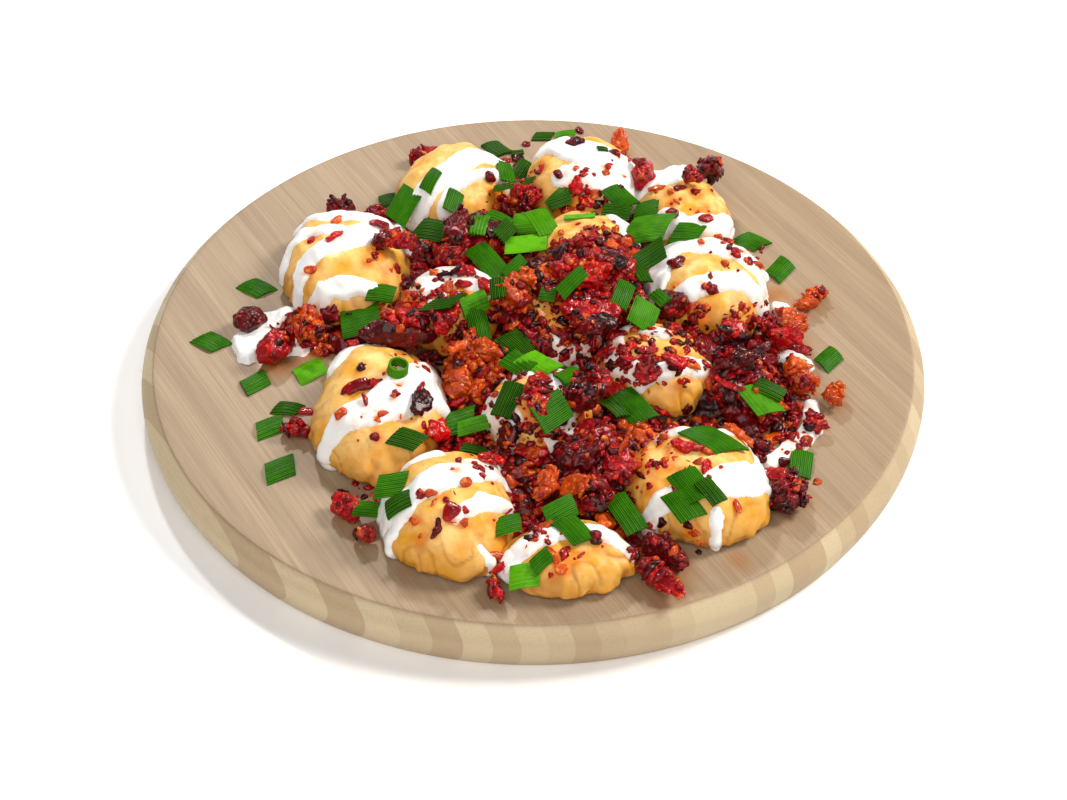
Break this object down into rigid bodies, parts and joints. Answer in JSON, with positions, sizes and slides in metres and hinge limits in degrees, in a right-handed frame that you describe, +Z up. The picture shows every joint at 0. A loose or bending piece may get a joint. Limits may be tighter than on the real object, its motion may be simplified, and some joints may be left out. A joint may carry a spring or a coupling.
{
  "type": "pierogi dumplings on a board",
  "caption": "Baked pierogi dumplings with sour cream, crumbled fried bacon and cut spring onion, heaped on a round wooden serving board.",
  "frame": {"origin": "centre of the board's underside, on the surface that the board stands on", "axes": "+Z up; +X to the right-hand side of the board and +Y to its far side, as it is served"},
  "size_m": [0.32, 0.32, 0.0559],
  "materials": {
    "board_wood": "fine-sanded pale laminated wood, lightly oiled",
    "baked_dough": "golden baked dough, satin",
    "fried_bacon": "crisp fried bacon, wet with fat",
    "sour_cream": "thick white cream, glossy",
    "spring_onion": "fresh cut green leaf, satin"
  },
  "bodies": {
    "root": {"bacon_back_curl": "fried_bacon", "bacon_back_left": "fried_bacon", "bacon_back_low": "fried_bacon", "bacon_back_orange": "fried_bacon", "bacon_back_right_dark": "fried_bacon", "bacon_back_right_red": "fried_bacon", "bacon_behind_left_dark": "fried_bacon", "bacon_behind_left_red": "fried_bacon", "bacon_centre_black": "fried_bacon", "bacon_centre_orange": "fried_bacon", "bacon_centre_oval": "fried_bacon", "bacon_far_right_knob": "fried_bacon", "bacon_far_right_orange": "fried_bacon", "bacon_far_right_red": "fried_bacon", "bacon_front_black": "fried_bacon", "bacon_front_gap": "fried_bacon", "bacon_front_left_red": "fried_bacon", "bacon_front_left_small": "fried_bacon", "bacon_front_orange": "fried_bacon", "bacon_front_red": "fried_bacon", "bacon_heap_back_left": "fried_bacon", "bacon_heap_front": "fried_bacon", "bacon_heap_inner": "fried_bacon", "bacon_heap_middle": "fried_bacon", "bacon_heap_right": "fried_bacon", "bacon_inner_dark": "fried_bacon", "bacon_inner_left_fold": "fried_bacon", "bacon_inner_left_red": "fried_bacon", "bacon_left_crown": "fried_bacon", "bacon_left_dark": "fried_bacon", "bacon_left_orange": "fried_bacon", "bacon_left_red": "fried_bacon", "bacon_left_small": "fried_bacon", "bacon_middle_black": "fried_bacon", "bacon_middle_slab": "fried_bacon", "bacon_right_dark": "fried_bacon", "bacon_right_foot": "fried_bacon", "bacon_right_front_dark": "fried_bacon", "bacon_right_orange": "fried_bacon", "bacon_right_pair_dark": "fried_bacon", "bacon_right_pair_orange": "fried_bacon", "bacon_wrinkled": "fried_bacon", "board": "board_wood", "dumpling_back": "baked_dough", "dumpling_back_left": "baked_dough", "dumpling_back_right": "baked_dough", "dumpling_centre_back": "baked_dough", "dumpling_front": "baked_dough", "dumpling_front_left": "baked_dough", "dumpling_front_right": "baked_dough", "dumpling_inner_front": "baked_dough", "dumpling_inner_left": "baked_dough", "dumpling_inner_right": "baked_dough", "dumpling_left": "baked_dough", "dumpling_middle": "baked_dough", "dumpling_right": "baked_dough", "dumpling_small_front": "baked_dough"}
  },
  "joints": []
}
